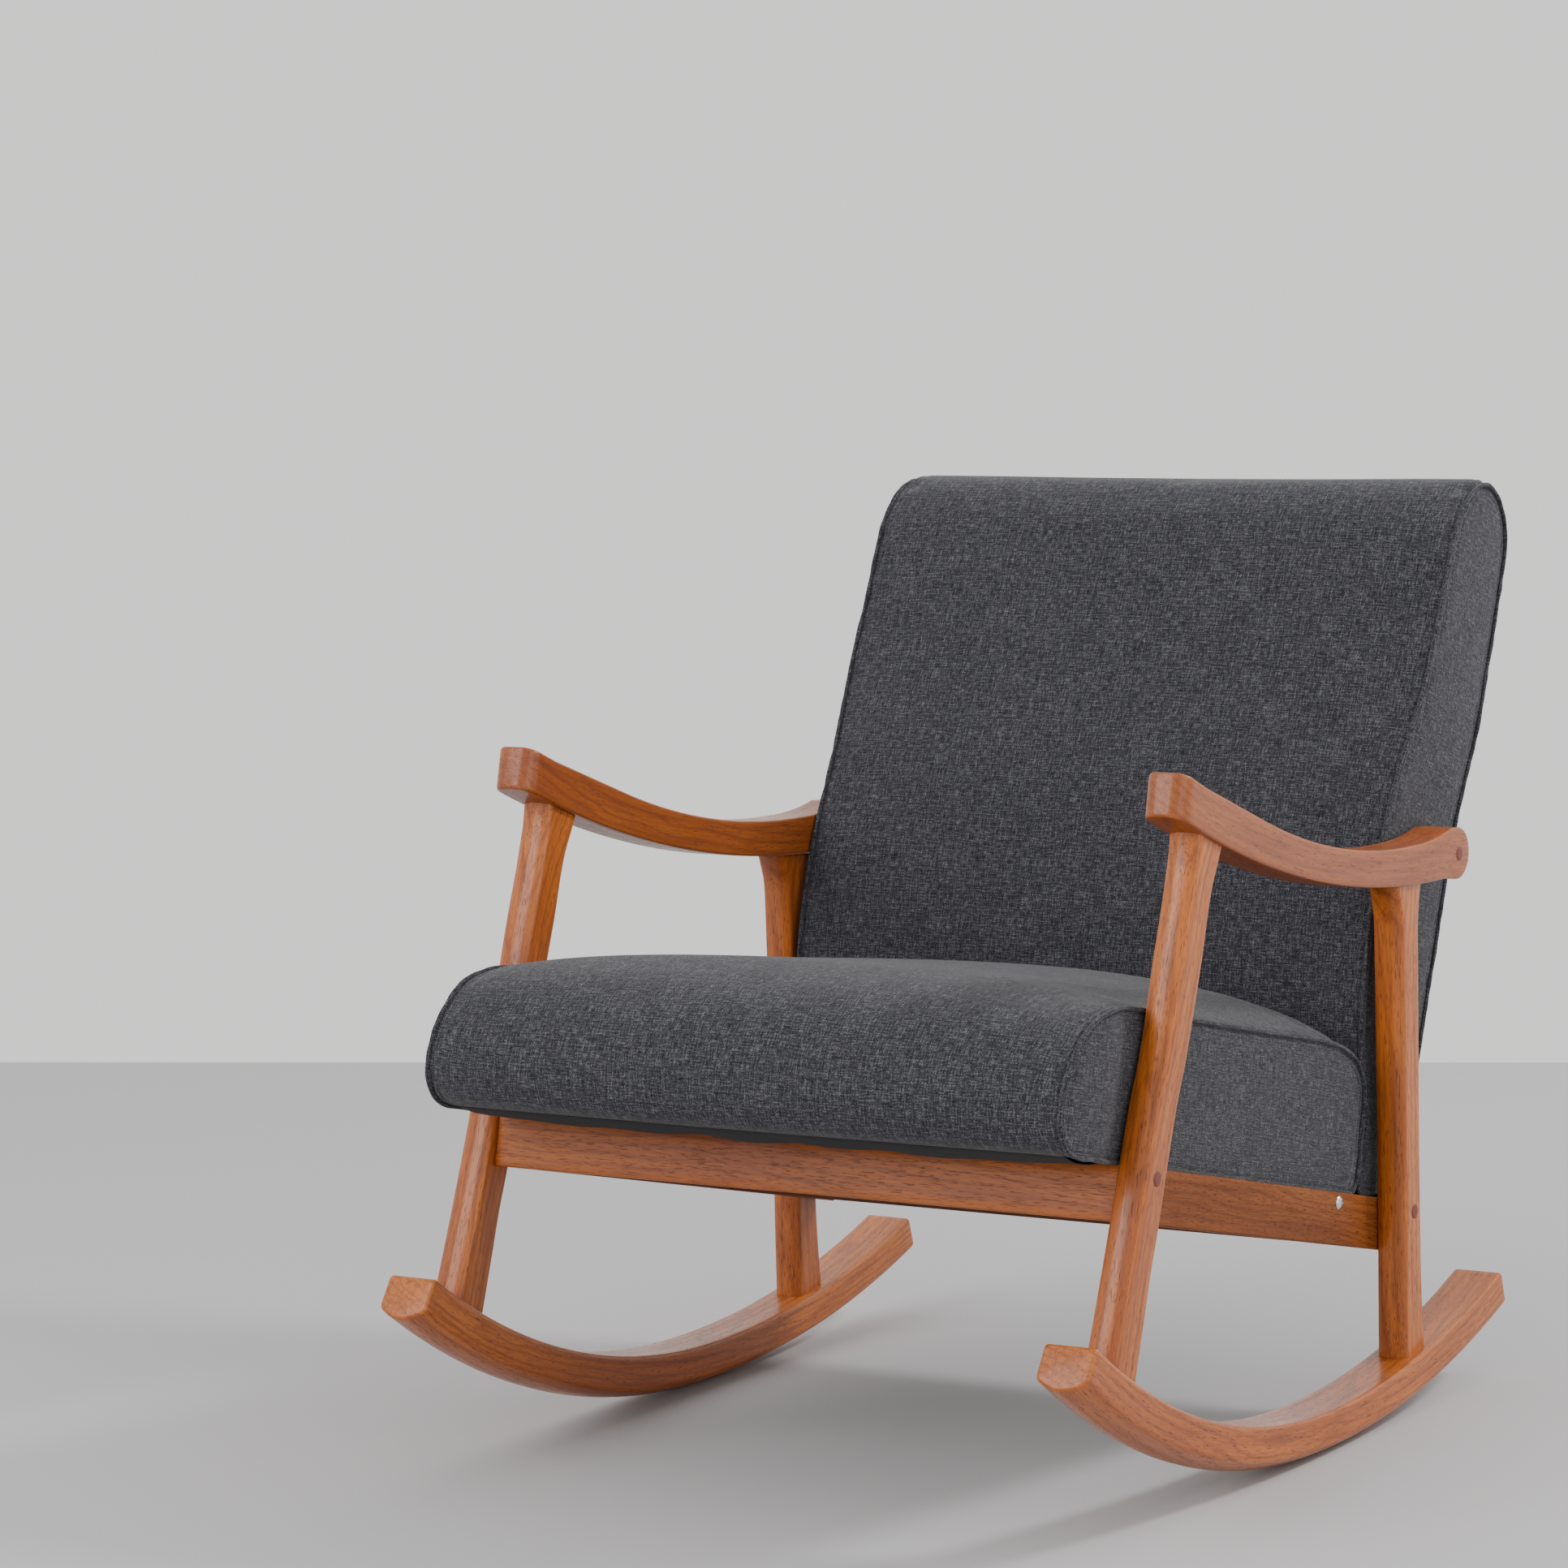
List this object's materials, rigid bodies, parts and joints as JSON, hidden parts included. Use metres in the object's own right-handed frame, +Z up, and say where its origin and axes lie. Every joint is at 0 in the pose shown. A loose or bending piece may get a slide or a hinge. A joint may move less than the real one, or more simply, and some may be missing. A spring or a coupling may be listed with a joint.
{
  "type": "rocking chair",
  "caption": "Upholstered rocking chair with curved hardwood rockers and armrests, a thick grey linen seat cushion and a tall padded back.",
  "frame": {"origin": "on the floor below the middle of the outer box", "axes": "+X is the sitter's left, -Y is the front, +Z is up"},
  "size_m": [0.656, 0.886, 0.7895],
  "materials": {
    "amber_hardwood": "satin lacquer over honey-brown stain, short pores along the grain",
    "plain_frame_wood": "unfinished",
    "grey_linen_cloth": "heathered plain weave, matte",
    "cushion_foam": "open-cell foam, hidden",
    "elastic_webbing": "woven elastic strap, hidden",
    "black_dust_cloth": "thin spun non-woven, matte",
    "dark_steel": "dark oxide",
    "bright_steel": "zinc-bright",
    "red_brown_plastic": "satin moulded"
  },
  "bodies": {
    "root": {"left_rocker": "amber_hardwood", "right_rocker": "amber_hardwood", "left_front_leg": "amber_hardwood", "right_front_leg": "amber_hardwood", "left_rear_leg": "amber_hardwood", "right_rear_leg": "amber_hardwood", "left_armrest": "amber_hardwood", "right_armrest": "amber_hardwood", "leg_dowels": "plain_frame_wood", "front_rail": "amber_hardwood", "left_side_rail": "amber_hardwood", "right_side_rail": "amber_hardwood", "rear_rail": "plain_frame_wood", "corner_blocks": "plain_frame_wood", "rail_dowels": "plain_frame_wood", "seat_front_bar": "plain_frame_wood", "seat_rear_bar": "plain_frame_wood", "seat_side_bars": "plain_frame_wood", "seat_webbing": "elastic_webbing", "seat_foam": "cushion_foam", "seat_cover": "grey_linen_cloth", "seat_dust_cloth": "black_dust_cloth", "seat_screws": "dark_steel", "left_back_post": "plain_frame_wood", "right_back_post": "plain_frame_wood", "back_top_bar": "plain_frame_wood", "back_middle_bar": "plain_frame_wood", "back_bottom_bar": "plain_frame_wood", "back_webbing": "elastic_webbing", "back_foam": "cushion_foam", "back_cover": "grey_linen_cloth", "arm_spacers": "bright_steel", "front_leg_bolts": "dark_steel", "rear_leg_bolts": "dark_steel", "arm_bolts": "dark_steel", "bolt_caps": "red_brown_plastic", "barrel_nuts": "bright_steel", "insert_nuts": "bright_steel", "back_screws": "bright_steel"}
  },
  "joints": []
}
